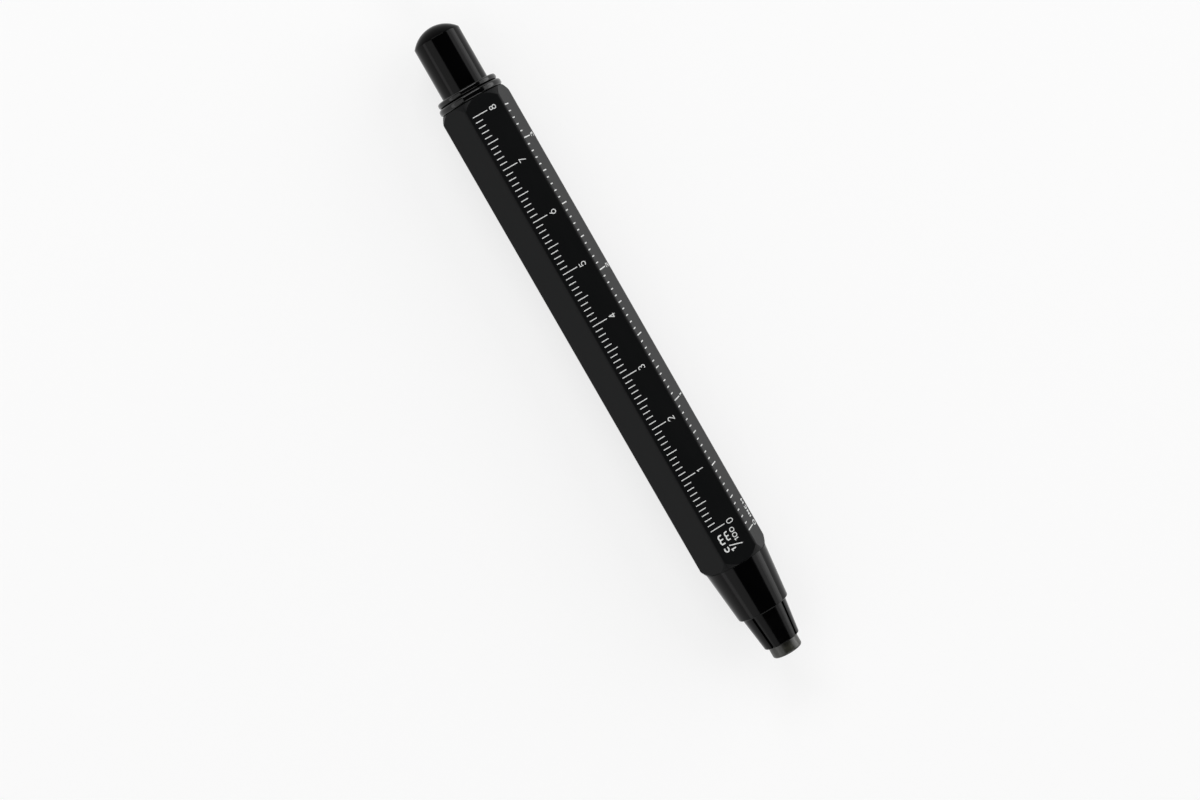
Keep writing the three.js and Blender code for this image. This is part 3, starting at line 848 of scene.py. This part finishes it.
def spring_tree():
    """The tree that winds the spring: its first and last turns lie close, the others are spread."""
    tree, given = shape_tree("wire_coil", [
        ("Turns", "NodeSocketFloat"),
        ("Coil Radius", "NodeSocketFloat"),
        ("Wire Radius", "NodeSocketFloat"),
        ("Length", "NodeSocketFloat"),
        ("Place", "NodeSocketVector"),
        ("Steps A Turn", "NodeSocketInt"),
        ("Finish", "NodeSocketMaterial"),
    ])
    size = given.outputs
    line = add_node(tree, "GeometryNodeCurvePrimitiveLine", {"End": (1, 0, 0)})
    steps = maths(tree, "MULTIPLY", size["Turns"], size["Steps A Turn"])
    wire = add_node(tree, "GeometryNodeResampleCurve", {"Curve": line.outputs[0], "Count": steps})
    share = add_node(tree, "ShaderNodeSeparateXYZ", {
        0: tree.nodes.new("GeometryNodeInputPosition").outputs[0],
    }).outputs["X"]
    turn = maths(tree, "MULTIPLY", share, size["Turns"])
    angle = maths(tree, "MULTIPLY", turn, math.tau)
    thick = maths(tree, "MULTIPLY", size["Wire Radius"], CLOSED_TURN_PITCH)
    first = maths(tree, "MINIMUM", turn, 1.0)
    last_start = maths(tree, "SUBTRACT", size["Turns"], 1.0)
    last = maths(tree, "MAXIMUM", maths(tree, "SUBTRACT", turn, last_start), 0.0)
    spread = maths(tree, "SUBTRACT", maths(tree, "SUBTRACT", turn, first), last)
    room = maths(tree, "SUBTRACT", size["Length"], maths(tree, "ADD", maths(tree, "MULTIPLY", thick, 2.0),
                                                         maths(tree, "MULTIPLY", size["Wire Radius"], 2.0)))
    pitch = maths(tree, "DIVIDE", room, maths(tree, "SUBTRACT", size["Turns"], 2.0))
    along = maths(tree, "ADD", maths(tree, "MULTIPLY", spread, pitch),
                  maths(tree, "MULTIPLY", maths(tree, "ADD", first, last), thick))
    wound = add_node(tree, "GeometryNodeSetPosition", {
        "Geometry": wire.outputs[0],
        "Position": add_node(tree, "ShaderNodeCombineXYZ", {
            "X": maths(tree, "ADD", along, size["Wire Radius"]),
            "Y": maths(tree, "MULTIPLY", size["Coil Radius"], maths(tree, "COSINE", angle)),
            "Z": maths(tree, "MULTIPLY", size["Coil Radius"], maths(tree, "SINE", angle)),
        }).outputs[0],
    })
    section = add_node(tree, "GeometryNodeCurvePrimitiveCircle", {
        "Resolution": WIRE_SIDES,
        "Radius": size["Wire Radius"],
    })
    swept = add_node(tree, "GeometryNodeCurveToMesh", {
        "Curve": wound.outputs["Geometry"],
        "Profile Curve": section.outputs[0],
        "Fill Caps": True,
    })
    placed = add_node(tree, "GeometryNodeTransform", {
        "Geometry": swept.outputs[0],
        "Translation": size["Place"],
    })
    end_shape_tree(tree, given, placed.outputs["Geometry"])
    return tree


def make_return_spring():
    """The spring, wound at its rest length. In the real pencil it shortens towards its front end as the
    button is pushed.
    """
    spring = made_by_nodes("return_spring_wire", spring_tree(), {
        "Turns": float(SPRING_TURNS),
        "Coil Radius": SPRING_RADIUS - SPRING_WIRE_RADIUS,
        "Wire Radius": SPRING_WIRE_RADIUS,
        "Length": SPRING_REAR - SPRING_FRONT,
        "Place": (SPRING_FRONT, 0, AXIS_HEIGHT),
        "Steps A Turn": COIL_STEPS,
        "Finish": FINISH["steel"],
    })
    smoothed(spring)
    settled(spring, "barrel", "steel", "return_spring")
    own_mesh(spring)


# Printed rules

def flat_matrix(tilt, zero):
    """Carries a drawing onto a flat of the barrel: X along the barrel, Y across the flat, Z out of it."""
    turn = Matrix.Rotation(tilt, 4, "X")
    return Matrix.Translation((zero, 0, AXIS_HEIGHT)) @ turn @ Matrix.Translation((0, 0, ACROSS_FLATS / 2))


def tick_tree():
    """The tree that lays out a row of ticks, longer at every fifth, tenth and twentieth."""
    tree, given = shape_tree("tick_row", [
        ("Count", "NodeSocketInt"),
        ("Spacing", "NodeSocketFloat"),
        ("Start", "NodeSocketFloat"),
        ("Width", "NodeSocketFloat"),
        ("Thickness", "NodeSocketFloat"),
        ("Length", "NodeSocketFloat"),
        ("Fifth Length", "NodeSocketFloat"),
        ("Tenth Length", "NodeSocketFloat"),
        ("Twentieth Length", "NodeSocketFloat"),
        ("Finish", "NodeSocketMaterial"),
    ])
    size = given.outputs
    row = add_node(tree, "GeometryNodeMeshLine", {
        "Count": size["Count"],
        "Start Location": add_node(tree, "ShaderNodeCombineXYZ", {"Y": size["Start"]}).outputs[0],
        "Offset": add_node(tree, "ShaderNodeCombineXYZ", {"X": size["Spacing"]}).outputs[0],
    })
    number = tree.nodes.new("GeometryNodeInputIndex").outputs[0]
    length = size["Length"]
    for step, name in ((5, "Fifth Length"), (10, "Tenth Length"), (20, "Twentieth Length")):
        is_step = maths(tree, "LESS_THAN", maths(tree, "MODULO", number, float(step)), 0.5)
        longer = maths(tree, "MULTIPLY", maths(tree, "SUBTRACT", size[name], length), is_step)
        length = maths(tree, "ADD", length, longer)
    stroke = add_node(tree, "GeometryNodeMeshCube", {"Size": (1, 1, 1)})
    hung = add_node(tree, "GeometryNodeTransform", {
        "Geometry": stroke.outputs["Mesh"],
        "Translation": (0, -0.5, 0.5),
    })
    ticks = add_node(tree, "GeometryNodeInstanceOnPoints", {
        "Points": row.outputs["Mesh"],
        "Instance": hung.outputs["Geometry"],
        "Scale": add_node(tree, "ShaderNodeCombineXYZ", {
            "X": size["Width"],
            "Y": length,
            "Z": size["Thickness"],
        }).outputs[0],
    })
    end_shape_tree(tree, given, ticks.outputs[0])
    return tree


def make_ticks(name, tree, place, count, spacing, width, start, lengths):
    """One rule's row of ticks on its flat."""
    ticks = made_by_nodes(name, tree, {
        "Count": count,
        "Spacing": spacing,
        "Start": start,
        "Width": width,
        "Thickness": INK_THICKNESS,
        "Length": lengths[0],
        "Fifth Length": lengths[1],
        "Tenth Length": lengths[2],
        "Twentieth Length": lengths[3],
        "Finish": FINISH["ink"],
    })
    ticks.data.transform(place)
    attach(ticks, "barrel")


def stroke_line(stroke, width, height):
    """The points of a stroke in a box of that size, with its arcs in short steps."""
    points = []
    for part in stroke:
        if len(part) == 2:
            points.append(part)
            continue
        x, y, across, up, first, last = part
        steps = math.ceil(abs(last - first) / ARC_STEP)
        for step in range(steps + 1):
            angle = math.radians(first + (last - first) * step / steps)
            points.append((x + across * math.cos(angle), y + up * math.sin(angle)))
    line = []
    for x, y in points:
        point = Vector((x * width, y * height))
        if not line or (point - line[-1]).length > STROKE_STEP:
            line.append(point)
    return line


def add_bar(points, faces, line, width, low, high):
    """Adds a flat closed bar of that width along a line, mitred at the line's corners."""
    looped = (line[0] - line[-1]).length < STROKE_STEP
    if looped:
        line = line[:-1]
    count = len(line)
    start = len(points)
    for number, point in enumerate(line):
        before = (point - line[number - 1]).normalized()
        after = (line[(number + 1) % count] - point).normalized()
        if not looped and number == 0:
            before = after
        if not looped and number == count - 1:
            after = before
        heading = (before + after).normalized()
        reach = width / 2 * min(1 / heading.dot(after), MITRE_LIMIT)
        side = Vector((-heading.y, heading.x)) * reach
        for edge, height in ((-side, low), (side, low), (side, high), (-side, high)):
            points.append((point.x + edge.x, point.y + edge.y, height))
    for number in range(count if looped else count - 1):
        here = start + 4 * number
        there = start + 4 * ((number + 1) % count)
        for corner in range(4):
            after = (corner + 1) % 4
            faces.append((here + corner, here + after, there + after, there + corner))
    if not looped:
        faces.append(tuple(range(start, start + 4)))
        faces.append(tuple(range(start + 4 * count - 4, start + 4 * count)))


def make_words(name, place, words):
    """One printed piece on a flat, from words laid out as the labels are. Strokes that cross
    lie a hair apart."""
    points = []
    faces = []
    for word, left, top, height, stretch, line_width, gap in words:
        for letter in word:
            share, strokes = LETTERS[letter]
            width = max(share * stretch * height - line_width, 0)
            corner = Vector((left, top - height)) + Vector((line_width, line_width)) / 2
            for number, stroke in enumerate(strokes):
                line = [corner + point for point in stroke_line(stroke, width, height - line_width)]
                hair = number * STROKE_STEP
                add_bar(points, faces, line, line_width, -hair, INK_THICKNESS + hair)
            left += width + line_width + gap
    placed = [place @ Vector(point) for point in points]
    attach(piece_from(name, placed, faces, FINISH["ink"]), "barrel")


def numbers(count, spacing, top, height, line_width):
    """The words of a row of numbers, each centred on its long tick."""
    words = []
    for number in range(count):
        width = LETTERS[str(number)][0] * height
        words.append((str(number), number * spacing - width / 2, top, height, 1, line_width, 0))
    return words


def make_rules():
    """The ticks, the numbers and the label of both rules."""
    tree = tick_tree()
    cm_flat = flat_matrix(0, CM_ZERO)
    inch_flat = flat_matrix(math.radians(60), INCH_ZERO)
    make_ticks("centimetre_ticks", tree, cm_flat, CM_COUNT, CM_SPACING,
               CM_TICK_WIDTH, CM_TICK_START, CM_TICKS)
    make_ticks("inch_ticks", tree, inch_flat, INCH_COUNT, INCH_SPACING,
               INCH_TICK_WIDTH, INCH_TICK_START, INCH_TICKS)
    make_words("centimetre_numbers", cm_flat,
               numbers(CM_NUMBERS, CM_NUMBER_EVERY * CM_SPACING,
                       CM_NUMBER_TOP, CM_NUMBER_HEIGHT, CM_NUMBER_LINE))
    make_words("inch_numbers", inch_flat,
               numbers(INCH_NUMBERS, INCH_NUMBER_EVERY * INCH_SPACING,
                       INCH_NUMBER_TOP, INCH_NUMBER_HEIGHT, INCH_NUMBER_LINE))
    make_words("centimetre_label", cm_flat, CM_LABEL)
    make_words("inch_label", inch_flat, INCH_LABEL)


# The nodes that stay as they are inside the pencil

def finish_inner_nodes():
    """Gives each of them the finish of its slot."""
    slots = {part["node"]: part["material_slot"] for part in frame["record"]["subparts"]}
    for node, piece in frame["nodes"].items():
        if not piece.hide_render:
            piece.data.materials.clear()
            piece.data.materials.append(FINISH[slots[node]])


# Floor, backdrop, lamps and camera

def pale(name, glow_levels):
    """A pale surface that also glows where it shows in the picture, from near to far."""
    material, tree, shader, place = finish(name, Specular_IOR_Level=0.0, Roughness=0.9)
    shader.inputs["Base Color"].default_value = (*ROOM_COLOUR, 1)
    shader.inputs["Emission Color"].default_value = (1, 1, 1, 1)
    distance = add_node(tree, "ShaderNodeVectorMath", {0: place}, operation="LENGTH").outputs["Value"]
    glow = add_node(tree, "ShaderNodeMapRange", {
        "Value": distance,
        "From Min": GLOW_START,
        "From Max": ROOM_RADIUS,
        "To Min": glow_levels[0],
        "To Max": glow_levels[1],
    }).outputs[0]
    path = tree.nodes.new("ShaderNodeLightPath").outputs
    seen = maths(tree, "MAXIMUM", path["Is Camera Ray"],
                 maths(tree, "MAXIMUM", path["Is Glossy Ray"], path["Is Transmission Ray"]))
    tree.links.new(maths(tree, "MULTIPLY", glow, seen), shader.inputs["Emission Strength"])
    return material


def make_room():
    """A round floor and a low wall far round it."""
    angles = [math.tau * side / ROOM_SIDES for side in range(ROOM_SIDES)]
    ring = [(ROOM_RADIUS * math.cos(angle), ROOM_RADIUS * math.sin(angle)) for angle in angles]
    floor = piece_from("floor", [(x, y, 0) for x, y in ring], [tuple(range(ROOM_SIDES))],
                       pale("pale_floor", FLOOR_GLOW))
    points = [(x, y, z) for z in (0, WALL_HEIGHT) for x, y in ring]
    faces = []
    for side in range(ROOM_SIDES):
        after = (side + 1) % ROOM_SIDES
        faces.append((side, after, ROOM_SIDES + after, ROOM_SIDES + side))
    wall = piece_from("wall", points, faces, pale("pale_wall", WALL_GLOW))


def soft_lamp(name, bearing, lean, width, height, brightness):
    """A softbox that faces the pencil, at that angle round it from +X and that angle from straight above.
    Its brightness is that of its face, where a white sheet in the full light has 1."""
    lamp = bpy.data.lights.new(name, "AREA")
    lamp.shape = "RECTANGLE"
    lamp.size = width
    lamp.size_y = height
    lamp.energy = brightness * math.pi * width * height
    softbox = bpy.data.objects.new(name, lamp)
    away = Vector((math.sin(lean) * math.cos(bearing), math.sin(lean) * math.sin(bearing), math.cos(lean)))
    softbox.location = away * LAMP_DISTANCE
    softbox.rotation_mode = "QUATERNION"
    softbox.rotation_quaternion = (-away).to_track_quat("-Z", "Y")
    bpy.context.scene.collection.objects.link(softbox)


def make_light():
    """A dim world and the softboxes."""
    world = bpy.data.worlds.new("dim_room")
    world.use_nodes = True
    world.node_tree.nodes["Background"].inputs["Color"].default_value = (1, 1, 1, 1)
    world.node_tree.nodes["Background"].inputs["Strength"].default_value = DIM_WORLD
    bpy.context.scene.world = world
    for name, bearing, lean, width, height, brightness in SOFTBOXES:
        soft_lamp(name, math.radians(bearing), math.radians(lean), width, height, brightness)


def make_camera():
    """The camera at the photograph's viewing angle, with the button end leaning to the left."""
    camera = bpy.data.objects.new("camera", bpy.data.cameras.new("camera"))
    bpy.context.scene.collection.objects.link(camera)
    camera.data.lens = LENS
    camera.data.sensor_width = SENSOR
    camera.data.clip_start = 0.01
    camera.data.clip_end = 20
    ahead = (CAMERA_TARGET - CAMERA_PLACE).normalized()
    along = Vector((1, 0, 0))
    along = (along - ahead * along.dot(ahead)).normalized()
    up = Matrix.Rotation(PENCIL_LEAN, 3, ahead) @ along
    turn = Matrix((ahead.cross(up), up, -ahead)).transposed()
    camera.matrix_world = Matrix.Translation(CAMERA_PLACE) @ turn.to_4x4()
    bpy.context.scene.camera = camera


make_camera()
make_barrel()
make_nose_cone()
for jaw_number in range(1, JAW_COUNT + 1):
    make_jaw(jaw_number)
make_lead()
make_clamp_ring()
make_rear_collar()
make_push_button()
make_return_spring()
make_rules()
finish_inner_nodes()
make_room()
make_light()
bpy.context.scene.view_settings.view_transform = "Standard"
